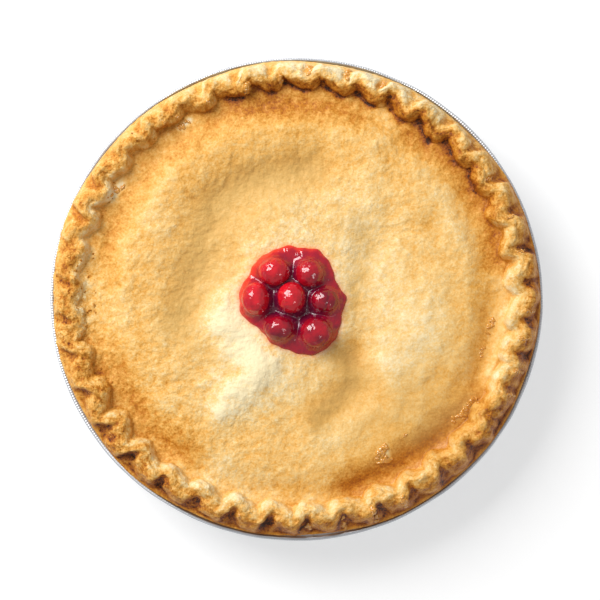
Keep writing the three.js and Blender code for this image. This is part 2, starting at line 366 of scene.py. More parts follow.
def stroke_distance(x, y, points):
    """Distance from each place to a line through the points."""
    nearest = np.full(x.shape, np.inf)
    for (x0, y0), (x1, y1) in zip(points, points[1:]):
        along_x, along_y = x1 - x0, y1 - y0
        share = ((x - x0) * along_x + (y - y0) * along_y) / (along_x ** 2 + along_y ** 2)
        share = np.clip(share, 0, 1)
        away = np.hypot(x - x0 - share * along_x, y - y0 - share * along_y)
        nearest = np.minimum(nearest, away)
    return nearest


def soft_stroke(x, y, points, width):
    """1 along a line of points in millimetres, fading over the given width."""
    away = stroke_distance(x, y, [(px * MM, py * MM) for px, py in points])
    return np.exp(-(away / (width * MM)) ** 2)


def soft_spot(x, y, spot_x, spot_y, spread):
    """1 at a spot given in millimetres, fading over its spread."""
    return np.exp(-((x - spot_x * MM) ** 2 + (y - spot_y * MM) ** 2) / (spread * MM) ** 2)


def soft_arc(angle, middle, spread):
    """1 at one direction of the rim, fading over a spread, both in degrees."""
    away = (np.degrees(angle) - middle + 180) % 360 - 180
    return np.exp(-(away / spread) ** 2)


def cherry_places():
    """Name, centre, half sizes, turn, darkness and lip of sauce of each cherry."""
    places = []
    for name, (turn, darkness, lip) in CHERRIES.items():
        low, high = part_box(name)
        places.append((name, (low + high) / 2, (high - low) / 2, math.radians(turn), darkness, lip * MM))
    return places


def sauce_outline(angle):
    """The radius of the sauce's edge, stretched round the cherries and their lips like a skin."""
    nearest = np.full(angle.shape, np.inf)
    for aside in np.radians(np.arange(-60, 61, 2.5)):
        look = angle + aside
        reach = np.full(angle.shape, -np.inf)
        for _, centre, half, _, _, lip in cherry_places():
            radius = (half.x + half.y) / 2 + lip
            reach = np.maximum(reach, centre.x * np.cos(look) + centre.y * np.sin(look) + radius)
        nearest = np.minimum(nearest, reach / math.cos(aside))
    return nearest


def sauce_share(x, y):
    """How far out a place is, as a share of the sauce's outline."""
    looks = np.linspace(-math.pi, math.pi, 721)
    outline = sauce_outline(looks)
    window = np.hanning(51)
    wrapped = np.concatenate([outline[-26:-1], outline, outline[1:26]])
    outline = np.convolve(wrapped, window, "valid") / window.sum()
    for middle, spread, more in SAUCE_SWELLS:
        outline = outline * (1 + more * soft_arc(looks, middle, spread))
    outline = outline * (1 + 0.01 * np.sin(11 * looks + 1) + 0.008 * np.sin(23 * looks))
    return np.hypot(x, y) / np.interp(np.arctan2(y, x), looks, outline)


def lid_height(x, y):
    """The lid's height, before the dip that the sauce lies in."""
    shoulder = 1 - smoothstep(SHOULDER_RADIUS, GULLY_RADIUS, np.hypot(x, y))
    height = GULLY_HEIGHT + (SHOULDER_HEIGHT - GULLY_HEIGHT) * shoulder
    for swell_x, swell_y, spread, rise in SWELLS:
        away = np.hypot(x - swell_x, y - swell_y) / spread
        height = height + rise * np.exp(-away ** 2) * shoulder
    return height


def middle_height():
    """The lid's height at its middle, before the dip."""
    return float(lid_height(np.zeros(1), np.zeros(1))[0])


def sunk_lid_height(x, y, share, dip):
    """The lid's height with the dip under the sauce."""
    return blend(middle_height() - dip, lid_height(x, y), smoothstep(0.72, 1, share))


def rim_lumps(angle, size, seed):
    """Smooth noise round the rim, whose lumps are this long."""
    circle = np.stack([np.cos(angle), np.sin(angle), np.zeros(len(angle))], axis=1)
    return lumps(circle * RIDGE_MIDDLE, size, 1, seed)


def flute_wave(crust, angle):
    """1 where a flute swings outwards, -1 at the pinches between flutes, and its reach."""
    looks = np.linspace(-math.pi, math.pi, 3601)
    pitch = math.tau * RIDGE_MIDDLE / crust.flutes
    phase = crust.flutes * looks + FLUTE_START + 0.35 * rim_lumps(looks, pitch, 31.0)
    for middle, spread, shift in FLUTE_DRIFT:
        phase = phase + shift * soft_arc(looks, middle, spread)
    wave = np.sin(phase - FLUTE_LEAN * np.sin(phase))
    reach = 1 + waves(FLUTE_UNEVENNESS, looks) + 0.5 * rim_lumps(looks, pitch, 37.0)
    reach *= (1 - SLUMP_SHARE * slump(looks)) * (1 - 0.5 * soft_arc(looks, 330, 26))
    turned = (angle + math.pi) % math.tau - math.pi
    return np.interp(turned, looks, wave), np.interp(turned, looks, reach)


def ridge_middle(angle):
    """The radius that the crest wanders about."""
    return RIDGE_MIDDLE + RIDGE_SHIFT * np.cos(angle - RIDGE_SHIFT_ANGLE)


def crest_radius(crust, angle):
    """The radius of the ridge's wandering crest, from the crust's own centre."""
    wave, reach = flute_wave(crust, angle)
    return ridge_middle(angle) + crust.flute_reach * reach * wave


def pinch(crust, angle, radius):
    """1 in the notches that open outwards between the flutes, wider towards the edge."""
    past = (radius - ridge_middle(angle)) / NOTCH_DEPTH_RADIUS
    slant = FLUTE_SLANT * past * NOTCH_DEPTH_RADIUS / RIDGE_MIDDLE
    wave, reach = flute_wave(crust, angle + slant)
    low = blend(0.72, 0.1, np.clip(past + 0.2, 0, 1))
    return smoothstep(low, low + 0.75, -wave) * smoothstep(-0.4, 0.5, past) * np.clip(reach, 0.4, 1.2)


def slump(angle):
    """1 on the stretch of rim that slumped in the oven, falling to 0 away from it."""
    return soft_arc(angle, SLUMP_DIRECTION, SLUMP_SPREAD)


def crest_distance(crust, x, y):
    """Distance from each place to the nearest point of the crest."""
    looks = np.linspace(0, math.tau, crust.flutes * 28, endpoint=False)
    radius = crest_radius(crust, looks)
    crest = np.stack([radius * np.cos(looks), radius * np.sin(looks)], axis=1)
    steps = len(looks)
    near = np.round(np.arctan2(y, x) / math.tau * steps).astype(int)
    nearest = np.full(x.shape, np.inf)
    for shift in range(-34, 35):
        start = crest[(near + shift) % steps]
        along = crest[(near + shift + 1) % steps] - start
        aside = np.stack([x, y], axis=1) - start
        share = np.clip((aside * along).sum(1) / (along * along).sum(1), 0, 1)
        away = aside - along * share[:, None]
        nearest = np.minimum(nearest, np.hypot(away[:, 0], away[:, 1]))
    return nearest


def disc_from_square(bm, radius):
    """Bends a flat square grid that spans -1 to 1 into a disc with even steps round its edge."""
    for vert in bm.verts:
        x, y = vert.co.x, vert.co.y
        reach = max(abs(x), abs(y))
        if reach > 0:
            turn = math.pi / 4 * (y / x if abs(x) >= abs(y) else x / y)
            if abs(x) >= abs(y):
                angle = turn if x > 0 else turn + math.pi
            else:
                angle = math.pi / 2 - turn if y > 0 else -math.pi / 2 - turn
            vert.co = Vector((math.cos(angle), math.sin(angle), 0)) * reach * radius


def add_rings(bm, count):
    """Extrudes the open edge of a sheet the given number of times, and numbers the new rings."""
    ring = bm.verts.layers.int.new("ring")
    edges = [edge for edge in bm.edges if edge.is_boundary]
    for number in range(1, count + 1):
        made = bmesh.ops.extrude_edge_only(bm, edges=edges)["geom"]
        for part in made:
            if isinstance(part, bmesh.types.BMVert):
                part[ring] = number
        edges = [part for part in made if isinstance(part, bmesh.types.BMEdge) and part.is_boundary]
    return edges


def place_rings(bm, rings):
    """Moves each numbered ring to its radius and height, keeping every point's direction."""
    layer = bm.verts.layers.int["ring"]
    for vert in bm.verts:
        if vert[layer]:
            radius, height = rings[vert[layer] - 1]
            flat = Vector((vert.co.x, vert.co.y, 0)).normalized() * radius
            vert.co = (flat.x, flat.y, height)


def read(items, name, width=1, kind=np.float32):
    """The values of all of a mesh's items, one row each."""
    values = np.empty(len(items) * width, kind)
    items.foreach_get(name, values)
    return values.reshape(-1, width) if width > 1 else values


def read_points(mesh):
    """The places of a mesh's vertices."""
    return read(mesh.vertices, "co", 3).astype(float)


def take_layer(mesh, name, kind):
    """The numbers of a layer, which is then removed from the mesh."""
    values = read(mesh.attributes[name].data, "value", kind=kind)
    mesh.attributes.remove(mesh.attributes[name])
    return values


def write_points(mesh, points):
    """Moves a mesh's vertices."""
    mesh.vertices.foreach_set("co", points.astype(np.float32).ravel())
    mesh.update()


def paint(mesh, **levels):
    """Keeps numbers for each vertex, for the mesh's finish to read."""
    for name, values in levels.items():
        layer = mesh.attributes.new(name, "FLOAT", "POINT")
        layer.data.foreach_set("value", np.asarray(values, np.float32))


def relax(mesh, values, rounds):
    """Each vertex's number, averaged again and again with its neighbours'."""
    ends = read(mesh.edges, "vertices", 2, np.int32)
    near = np.concatenate([ends[:, 0], ends[:, 1]])
    far = np.concatenate([ends[:, 1], ends[:, 0]])
    counts = np.bincount(near, minlength=len(values))
    for _ in range(rounds):
        values = np.bincount(near, weights=values[far], minlength=len(values)) / counts
    return values


def finish_piece(name, mesh, material, slot, *nodes):
    """Makes a mesh a piece of the pie, in place of its plain nodes."""
    mesh.materials.clear()
    mesh.materials.append(material)
    mesh.polygons.foreach_set("use_smooth", [True] * len(mesh.polygons))
    mesh.update()
    piece = bpy.data.objects.new(name, mesh)
    bpy.context.scene.collection.objects.link(piece)
    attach(piece, "root")
    if nodes:
        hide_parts(*nodes)
    return piece


def to_mesh(bm, name):
    """Ends a bmesh as a mesh."""
    mesh = bpy.data.meshes.new(name)
    bm.to_mesh(mesh)
    bm.free()
    return mesh


class Level:
    """A number that varies over a surface. Sums on it add Math nodes."""

    def __init__(self, finish, socket):
        self.finish = finish
        self.socket = socket

    def sum(self, operation, *values, clamp=False):
        settings = {"operation": operation, "use_clamp": clamp}
        return self.finish.node("Math", settings, dict(enumerate(values)))

    def __add__(self, other):
        return self.sum("ADD", self, other)

    __radd__ = __add__

    def __sub__(self, other):
        return self.sum("SUBTRACT", self, other)

    def __rsub__(self, other):
        return self.sum("SUBTRACT", other, self)

    def __mul__(self, other):
        return self.sum("MULTIPLY", self, other)

    __rmul__ = __mul__

    def __truediv__(self, other):
        return self.sum("DIVIDE", self, other)

    def __pow__(self, other):
        return self.sum("POWER", self, other)

    def held(self):
        """Kept between 0 and 1."""
        return self.sum("ADD", self, 0.0, clamp=True)

    def above(self, low, high):
        """0 below low, 1 above high."""
        return ((self - low) / (high - low)).held()

    def sine(self):
        return self.sum("SINE", self)


class Finish:
    """A material, and the one way of adding nodes to it."""

    def __init__(self, name):
        self.material = bpy.data.materials.new(name)
        self.material.use_nodes = True
        self.nodes = self.material.node_tree.nodes
        self.links = self.material.node_tree.links
        self.nodes.clear()

    def node(self, kind, settings=None, values=None, output=0):
        """Adds a node: its settings first, then the values or links of its sockets."""
        node = self.nodes.new("ShaderNode" + kind)
        for name, setting in (settings or {}).items():
            if name == "stops":
                self.set_stops(node.color_ramp, setting)
            else:
                setattr(node, name, setting)
        for name, value in (values or {}).items():
            if isinstance(value, Level):
                self.links.new(value.socket, node.inputs[name])
            elif value is not None:
                node.inputs[name].default_value = value
        return Level(self, node.outputs[output]) if node.outputs else None

    def set_stops(self, ramp, stops):
        """Gives a colour ramp its stops."""
        while len(ramp.elements) < len(stops):
            ramp.elements.new(1.0)
        for element, (place, shade) in zip(ramp.elements, stops):
            element.position = place
            element.color = (*shade, 1)

    def places(self):
        """Object coordinates."""
        return self.node("TexCoord", output="Object")

    def grain(self, size, detail=2.0, roughness=0.5, offset=(0, 0, 0), stretch=(1, 1, 1)):
        """Noise from 0 to 1 whose lumps have the given size."""
        place = {"Vector": self.places(), "Location": offset, "Scale": stretch}
        spots = self.node("Mapping", None, place)
        values = {"Vector": spots, "Scale": 1 / size, "Detail": detail, "Roughness": roughness}
        return self.node("TexNoise", None, values, output=0)

    def painted(self, name):
        """A number kept on the mesh."""
        return self.node("Attribute", {"attribute_name": name}, output="Fac")

    def ramp(self, level, stops):
        """A colour from a level, by stops."""
        return self.node("ValToRGB", {"stops": stops}, {"Fac": level})

    def mix(self, first, second, share):
        """One colour blended into another."""
        first = first if isinstance(first, Level) else (*first, 1)
        second = second if isinstance(second, Level) else (*second, 1)
        return self.node("Mix", {"data_type": "RGBA"}, {0: share, 6: first, 7: second}, output=2)

    def bump(self, height, strength, distance, normal=None):
        """A normal from a height."""
        values = {"Height": height, "Strength": strength, "Distance": distance, "Normal": normal}
        return self.node("Bump", None, values)

    def surface(self, values):
        """Ends the material in its surface shader."""
        shader = self.node("BsdfPrincipled", None, values)
        self.node("OutputMaterial", None, {"Surface": shader})
        return self.material


def foil_finish(colours, pan):
    """Bright rolled aluminium, with fine crimps round the bead."""
    finish = Finish("foil")
    across, along = [
        finish.node("SeparateXYZ", None, {"Vector": finish.places()}, output=at) for at in ("X", "Y")
    ]
    around = along.sum("ARCTAN2", along, across)
    radius = (across * across + along * along) ** 0.5
    on_bead = radius.above(PAN_RADIUS - 2.4 * MM, PAN_RADIUS - 2.0 * MM)
    ticks = (around * pan.ticks).sine() * on_bead
    rolling = finish.grain(9 * MM, 4.0, 0.6)
    scratches = finish.grain(2 * MM, 3.0, 0.6, stretch=(1, 1, 6))
    normal = finish.bump(ticks, 0.6, 0.18 * MM)
    normal = finish.bump(rolling, 0.4, 0.25 * MM, normal)
    shade = finish.mix(colours.foil, tint("8F949B"), (rolling - 0.3).held() * 0.5 + 0.08 * ticks)
    return finish.surface({
        "Base Color": shade,
        "Metallic": 1.0 - 0.55 * on_bead,
        "Roughness": 0.22 + 0.2 * scratches,
        "Normal": normal,
    })


def crust_finish(colours):
    """Baked pastry: pale to brown by how far it has baked, with painted shade and painted light mixed in,
    and a fine pebbly grain.
    """
    finish = Finish("baked_crust")
    # The baked level carries painted shade and painted light as well as browning.
    baked = finish.painted("baked")
    gloss = finish.painted("gloss")
    hollow = finish.painted("hollow")
    crumb = finish.painted("crumb")
    stain = finish.painted("stain")
    fleck = finish.grain(1.1 * MM, 3.0, 0.7)
    mottle = finish.grain(3.4 * MM, 4.0, 0.62, offset=(3, 1, 0))
    cloud = finish.grain(16 * MM, 3.0, 0.55, offset=(0, 7, 2))
    toast_and_shade = baked + (fleck - 0.5) * (0.68 + 0.75 * crumb) + (mottle - 0.5) * (0.42 + 0.8 * crumb)
    # The hollow term is painted shade: the crust is darker in its hollows and creases.
    toast_and_shade = toast_and_shade + (cloud - 0.5) * 0.3 + hollow * 0.14
    shade = finish.ramp(toast_and_shade, [
        (0.0, colours.pale),
        (0.24, colours.butter),
        (0.46, colours.golden),
        (0.68, colours.brown),
        (0.88, colours.dark),
        (1.0, colours.burnt),
    ])
    # Painted shade: the hollows of the lid are mixed towards tan.
    shade = finish.mix(shade, colours.tan, finish.painted("tan") * (0.5 + mottle))
    shade = finish.mix(shade, colours.sauce_thin, (stain * (mottle + 0.1)).held() * 0.6)
    pebbles = finish.grain(1.9 * MM, 3.0, 0.55, offset=(5, 5, 5))
    normal = finish.bump(pebbles * (0.65 + 1.6 * crumb), 0.9, 0.8 * MM)
    normal = finish.bump(fleck * (0.65 + 1.6 * crumb), 0.8, 0.45 * MM, normal)
    return finish.surface({
        "Base Color": shade,
        "Roughness": (0.62 - 0.4 * gloss + (mottle - 0.5) * 0.5).held(),
        "Specular IOR Level": 0.35,
        "Normal": normal,
    })


def cherry_finish(colours, name, darkness):
    """Shiny cherry skin under a film of syrup."""
    finish = Finish(name + "_skin")
    cloud = finish.grain(6 * MM, 2.0, 0.5, offset=(darkness * 9, 0, 0))
    streak = finish.grain(2.2 * MM, 3.0, 0.6, stretch=(1, 1, 0.35))
    depth = (cloud - 0.5) * 1.1 + (streak - 0.5) * 0.4 + 0.3 + 0.6 * darkness
    shade = finish.mix(colours.cherry, colours.cherry_dark, depth.held())
    film = finish.grain(3.2 * MM, 1.5, 0.45, offset=(0, darkness * 9, 0))
    return finish.surface({
        "Base Color": shade,
        "Roughness": 0.08,
        "Specular IOR Level": 0.8,
        "Subsurface Weight": 0.06,
        "Subsurface Radius": (0.004, 0.0006, 0.0004),
        "Subsurface Scale": 1.0,
        "Normal": finish.bump(film, 0.8, 1.1 * MM),
    })


def sauce_finish(colours):
    """Thick clear cherry sauce: orange red where thin and along the edge facing the light (painted light),
    almost black where deep and in the painted shade between the cherries.
    """
    finish = Finish("cherry_sauce_gel")
    depth = finish.painted("depth")
    cloud = finish.grain(3 * MM, 2.0, 0.5)
    shade = finish.ramp(depth + (cloud - 0.5) * 0.6, [
        (0.0, colours.sauce_thin),
        (0.4, colours.sauce),
        (1.0, colours.sauce_deep),
    ])
    return finish.surface({
        "Base Color": shade,
        "Roughness": 0.07,
        "Specular IOR Level": 0.9,
        "Normal": finish.bump(cloud, 0.6, 0.9 * MM),
    })


def syrup_finish(colours):
    """Drops of clear golden syrup."""
    finish = Finish("golden_syrup")
    cloud = finish.grain(1.5 * MM, 2.0, 0.5)
    return finish.surface({
        "Base Color": finish.mix(colours.golden, colours.brown, cloud),
        "Roughness": 0.12,
        "Specular IOR Level": 1.0,
        "Normal": finish.bump(cloud, 0.4, 0.3 * MM),
    })


def floor_finish():
    """A plain white table top that glows a little, as a lit acrylic sheet does."""
    finish = Finish("table_top")
    return finish.surface({
        "Base Color": (0.6, 0.6, 0.6, 1),
        "Roughness": 0.9,
        "Specular IOR Level": 0.1,
        "Emission Color": (1, 1, 1, 1),
        "Emission Strength": 0.47,
    })


def pan_profile():
    """Radius and height of the foil from the base's middle to the curled end of the bead."""
    slope = math.atan2(FLANGE_HEIGHT, MOUTH_RADIUS - BASE_RADIUS)
    rings = [(BASE_RADIUS * share, BASE_PANEL_HEIGHT) for share in (0.5, 0.86, 0.9)]
    rings += [(BASE_RADIUS * share, BASE_RIM_HEIGHT) for share in (0.925, 0.95)]
    corner = BASE_RADIUS - CORNER_RADIUS * math.tan(slope / 2)
    for step in range(5):
        bend = slope * step / 4
        radius = corner + CORNER_RADIUS * math.sin(bend)
        rings.append((radius, BASE_RIM_HEIGHT + CORNER_RADIUS * (1 - math.cos(bend))))
    low_radius, low_height = rings[-1]
    for step in range(1, WALL_RINGS + 1):
        share = step / WALL_RINGS * 0.97
        height = blend(low_height, FLANGE_HEIGHT, share)
        rings.append((blend(low_radius, MOUTH_RADIUS, share), height))
    bead = PAN_RADIUS - BEAD_RADIUS
    for share in (0.08, 0.3, 0.6, 0.9):
        radius = blend(MOUTH_RADIUS, bead - BEAD_RADIUS, share)
        rings.append((radius, FLANGE_HEIGHT - BEAD_RADIUS * 0.5))
    for step in range(BEAD_RINGS):
        bend = math.radians(150 - 300 * step / (BEAD_RINGS - 1))
        height = FLANGE_HEIGHT - BEAD_RADIUS + BEAD_RADIUS * math.sin(bend)
        rings.append((bead + BEAD_RADIUS * math.cos(bend), height))
    return rings


class PIE_OT_foil_pan(bpy.types.Operator):
    """Presses the foil pan: base, pleated wall, flange and rolled bead"""
    bl_idname = "pie.foil_pan"
    bl_label = "Foil Pan"

    def execute(self, context):
        pan = context.scene.pie_pan
        profile = pan_profile()
        bm = bmesh.new()
        middle = BASE_RADIUS / 4
        bmesh.ops.create_circle(bm, cap_ends=True, cap_tris=True, segments=PAN_STEPS, radius=middle)
        bmesh.ops.translate(bm, verts=bm.verts[:], vec=(0, 0, BASE_PANEL_HEIGHT))
        add_rings(bm, len(profile))
        place_rings(bm, profile)
        for vert in bm.verts:
            self.shape(vert, pan)
        bmesh.ops.recalc_face_normals(bm, faces=bm.faces[:])
        parts = bm.verts[:] + bm.edges[:] + bm.faces[:]
        bmesh.ops.solidify(bm, geom=parts, thickness=pan.sheet)
        mesh = to_mesh(bm, "pressed_foil_pan")
        mesh.attributes.remove(mesh.attributes["ring"])
        material = foil_finish(context.scene.pie_colours, pan)
        finish_piece("pressed_foil_pan", mesh, material, "foil", "foil_pan")
        return {"FINISHED"}

    def shape(self, vert, pan):
        """Adds the pleats of the wall, the pan's ovalness and the handled look of the bead."""
        radius = math.hypot(vert.co.x, vert.co.y)
        angle = math.atan2(vert.co.y, vert.co.x)
        climb = vert.co.z / FLANGE_HEIGHT
        fade = min(1.0, max(0.0, climb * 6)) * min(1.0, max(0.0, (1 - climb) * 7))
        on_wall = fade if radius < MOUTH_RADIUS else 0.0
        pleat = (0.5 + 0.5 * math.cos(pan.pleats * angle)) * pan.pleat_depth * on_wall
        knocks = noise.noise(Vector((vert.co.x, vert.co.y, 0)) / (14 * MM)) * 0.25 * MM * climb
        grow = 1 + (pleat + knocks) / max(radius, MM)
        vert.co.x, vert.co.y = ovalled(vert.co.x * grow, vert.co.y * grow, pan.ovalness)


class PIE_OT_crust(bpy.types.Operator):
    """Bakes the crust: lid, gully, fluted ridge and trimmed edge"""
    bl_idname = "pie.crust"
    bl_label = "Baked Crust"

    def execute(self, context):
        crust = context.scene.pie_crust
        topping = context.scene.pie_topping
        mesh = self.dough_sheet()
        self.lift(mesh, crust, topping, context.scene.pie_pan.ovalness)
        finish_piece("baked_crust", mesh, crust_finish(context.scene.pie_colours), "crust", "pie_crust")
        return {"FINISHED"}

    def dough_sheet(self):
        """A flat lid with numbered rings for the rim, closed underneath by the part in the pan."""
        bm = bmesh.new()
        bmesh.ops.create_grid(bm, x_segments=LID_CELLS, y_segments=LID_CELLS, size=1.0)
        disc_from_square(bm, LID_RADIUS)
        edges = add_rings(bm, TOP_RINGS + len(self.under_rings()))
        made = bmesh.ops.holes_fill(bm, edges=edges, sides=0)
        bmesh.ops.poke(bm, faces=made["faces"])
        return to_mesh(bm, "baked_crust")

    def under_rings(self):
        """Radius and height of the crust's edge, and then of the part that lies in the pan."""
        slope = (MOUTH_RADIUS - BASE_RADIUS) / FLANGE_HEIGHT
        inset = 2.2 * MM
        return [
            (EDGE_RADIUS, EDGE_UNDER + 0.6 * MM),
            (EDGE_RADIUS - 0.2 * MM, EDGE_UNDER),
            (EDGE_SEAT_RADIUS, FLANGE_HEIGHT + FIT_GAP),
            (MOUTH_RADIUS - FIT_GAP, FLANGE_HEIGHT + FIT_GAP),
            (BASE_RADIUS - FIT_GAP + slope * inset, CRUST_FLOOR + inset),
            (BASE_RADIUS - FIT_GAP - inset, CRUST_FLOOR),
        ]

    def lift(self, mesh, crust, topping, pan_ovalness):
        """Gives every vertex its place, the relief of the dough, and how far it has baked, with painted
        shade and light.
        """
        points = read_points(mesh)
        rings = take_layer(mesh, "ring", np.int32)
        angle = np.arctan2(points[:, 1], points[:, 0])
        crest = crest_radius(crust, angle)
        edge = EDGE_RADIUS + 0.35 * MM * np.sin(11 * angle + 2) + 0.3 * MM * np.sin(5 * angle)
        inner = np.clip(rings / INNER_RINGS, 0, 1)
        outer = np.clip((rings - INNER_RINGS) / OUTER_RINGS, 0, 1)
        on_rim = blend(blend(LID_RADIUS, crest, inner), edge, outer)
        radius = np.where(rings > 0, on_rim, np.hypot(points[:, 0], points[:, 1]))
        outside = radius > crest
        flat = np.stack([radius * np.cos(angle), radius * np.sin(angle)], axis=1)
        x, y = (flat + CRUST_DRIFT).T
        share = sauce_share(x, y)
        place = np.stack([x, y, np.zeros(len(x))], axis=1)
        waver = lumps(place, 9 * MM, 2, 5.0)

        lid = self.folded_lid(place, share, topping.dip)
        brink = np.clip((radius - edge + 3.4 * MM) / (3.0 * MM), 0, 1)
        ridge = self.ridge(crust, flat, place, angle, radius, outside, waver)
        ridge = ridge * (1 - brink ** 2) ** 0.6
        apron = blend(RIDGE_FOOT, EDGE_TOP, smoothstep(0.25, 1.0, outer))
        foot = np.where(outside, apron, blend(lid, RIDGE_FOOT, smoothstep(0.5, 1.0, inner)))
        z = np.where(rings > 0, foot + ridge, lid) - EDGE_LIP * smoothstep(0.9, 1.0, outer)
        for pit_x, pit_y, size in PITS:
            away = np.hypot(x - pit_x * MM, y - pit_y * MM) * (1 + 0.35 * waver)
            z = z - 0.6 * size * MM * (1 - smoothstep(0.35, 1.0, away / (size * MM)))

        in_pan = rings > TOP_RINGS + 2
        for number, (ring_radius, ring_height) in enumerate(self.under_rings(), TOP_RINGS + 1):
            here = rings == number
            with_edge = number <= TOP_RINGS + 2
            reach = ring_radius + (edge - EDGE_RADIUS) * with_edge
            x = np.where(here, reach * np.cos(angle) + CRUST_DRIFT[0] * with_edge, x)
            y = np.where(here, reach * np.sin(angle) + CRUST_DRIFT[1] * with_edge, y)
            z = np.where(here, ring_height, z)
        ovalness = RIM_OVALNESS * smoothstep(88 * MM, 116 * MM, np.hypot(x, y))
        x, y = ovalled(x, y, np.where(in_pan, pan_ovalness, ovalness))
        # The last vertex closes the underside.
        x[-1], y[-1], z[-1] = 0.0, 0.0, CRUST_FLOOR
        top = rings <= TOP_RINGS
        top[-1] = False
        write_points(mesh, np.stack([x, y, z], axis=1))
        self.roughen(mesh, crust, angle, radius, ridge, share, top)

    def folded_lid(self, place, share, dip):
        """The lid's height with its folds and lumps."""
        x, y, _ = place.T
        height = sunk_lid_height(x, y, share, dip)
        for line, width, rise in FOLDS:
            height = height + rise * MM * soft_stroke(x, y, line, width) * smoothstep(1.0, 1.4, share)
        on_lid = smoothstep(1.0, 1.3, share)
        height = height + 1.0 * MM * lumps(place, 21 * MM, 2, 3.0) * on_lid
        return height + 0.42 * MM * lumps(place, 8 * MM, 3, 9.0) * on_lid

    def ridge(self, crust, flat, place, angle, radius, outside, waver):
        """How far the fluted ridge stands over its foot, with the notches cut into its outside."""
        half = np.where(outside, crust.ridge_outside, crust.ridge_inside) * (1 + 0.25 * waver)
        across = np.clip(crest_distance(crust, *flat.T) / half, 0, 1)
        sag = 1 - SLUMP_SHARE * slump(angle)
        height = crust.ridge_height * sag * (1 + 0.3 * lumps(place, 13 * MM, 1, 1.0))
        notch = pinch(crust, angle, radius) * (0.75 + 0.5 * rim_lumps(angle, 16 * MM, 43.0))
        # The notches are shallower at the lower right and at the top.
        notch = notch * (0.88 - 0.5 * soft_arc(angle, 332, 28)) * (1 - 0.35 * soft_arc(angle, 100, 45))
        return height * (1 - across ** 2.5) ** 0.9 * (1 - np.clip(notch, 0, 0.95))

    def roughen(self, mesh, crust, angle, radius, ridge, share, top):
        """Moves the top along its normals by the fine relief, and paints how it has baked, with painted
        shade and light.
        """
        points = read_points(mesh)
        normals = read(mesh.vertices, "normal", 3).astype(float)
        on_ridge = np.clip(ridge / crust.ridge_height, 0, 1)
        crumbly = slump(angle) * smoothstep(99 * MM, 106 * MM, radius)
        clear = smoothstep(0.98, 1.06, share) * top
        # The lid is smoothest at the lower right and most pebbly at the lower left.
        smooth = soft_arc(angle, 318, 55) * smoothstep(20 * MM, 60 * MM, radius)
        coarse = soft_arc(angle, 225, 50) * smoothstep(30 * MM, 80 * MM, radius)
        pebbly = 1.0 - 0.6 * smooth + 0.4 * coarse
        relief = 0.28 * MM * lumps(points, 3.4 * MM, 3, 4.0) * pebbly
        relief += 0.26 * MM * lumps(points, 1.9 * MM, 1, 8.0) * pebbly
        relief += 1.5 * MM * lumps(points, 5.0 * MM, 3, 2.0) * on_ridge
        relief += 1.0 * MM * lumps(points, 3.4 * MM, 3, 6.0) * crumbly
        points += normals * (relief * clear * crust.roughness)[:, None]
        write_points(mesh, points)

        x, y, z = points.T
        # Painted shade: how far each point lies below its neighbours, for the finish to darken there.
        hollow = np.clip((relax(mesh, z, 14) - z) / (0.6 * MM), -1, 1)
        # Painted shade: the hollows of the lid are painted tan.
        tan = sum(strength * soft_stroke(x, y, line, width) for line, width, strength in SHADED_TAN_HOLLOWS)
        paint(
            mesh,
            hollow=hollow * clear,
            baked=self.baked(crust, x, y, angle, radius, on_ridge, crumbly),
            gloss=self.gloss(angle, radius, share),
            crumb=np.maximum(0.4 * on_ridge, 0.5 * crumbly) + 0.3 * (pebbly - 1),
            stain=np.exp(-((share - 1.0) / 0.06) ** 2),
            tan=np.clip(tan, 0, 0.9),
        )

    def baked(self, crust, x, y, angle, radius, on_ridge, crumbly):
        """How far the crust has baked, with painted shade and painted light mixed in: 0 is pale and 1 is
        burnt.
        """
        level = 0.22 + 0.16 * smoothstep(30 * MM, 85 * MM, radius)
        for line, width, more in BROWNING_AND_PAINTED_LIGHT:
            level += more * soft_stroke(x, y, line, width)
        # The ridge's inner foot is painted darker at the upper left, where the ridge shades it, and paler
        # at the lower right, where it is lit: painted shade and light. Its outer side is painted darker
        # at the lower right, away from the light, and a little paler on the lit side.
        towards_light = 0.5 + 0.5 * np.cos(angle - math.radians(122))
        past = radius - crest_radius(crust, angle)
        inner_face = np.exp(-((past + 4.7 * MM) / (3.3 * MM)) ** 2)
        level += inner_face * blend(-0.2, 0.36, smoothstep(0.3, 0.75, towards_light))
        # More painted shade at the top, and less at the left, where the cast shadow already darkens the
        # inner foot.
        level += inner_face * (0.85 * soft_arc(angle, 62, 28) - 0.8 * soft_arc(angle, 166, 40))
        outer_face = smoothstep(0.5 * MM, 5.5 * MM, past)
        level += outer_face * blend(0.46, -0.1, smoothstep(0.25, 0.8, towards_light))
        # The notches between the flutes are painted darker, as painted shade; the outer side at the left is
        # browner.
        level += outer_face * (0.14 * soft_arc(angle, 162, 30) + 0.12 * pinch(crust, angle, radius))
        level += on_ridge * (0.06 + 0.2 * soft_arc(angle, 172, 44) - 0.26 * soft_arc(angle, 82, 32))
        level += 0.14 * crumbly
        for pit_x, pit_y, size in PITS:
            level += 0.3 * soft_spot(x, y, pit_x, pit_y, size)
        # Past golden, the crust darkens more slowly and never quite burns.
        return np.minimum(level, 0.5) + 0.66 * np.clip(level - 0.5, 0, 0.46)

    def gloss(self, angle, radius, share):
        """How much syrup and melted fat lie on the crust."""
        level = 0.06 + 0.3 * soft_arc(angle, 340, 50) * smoothstep(50 * MM, 90 * MM, radius)
        level += 0.35 * soft_arc(angle, 290, 50) * smoothstep(99 * MM, 103 * MM, radius)
        return level + 0.7 * (1 - smoothstep(1.0, 1.05, share))


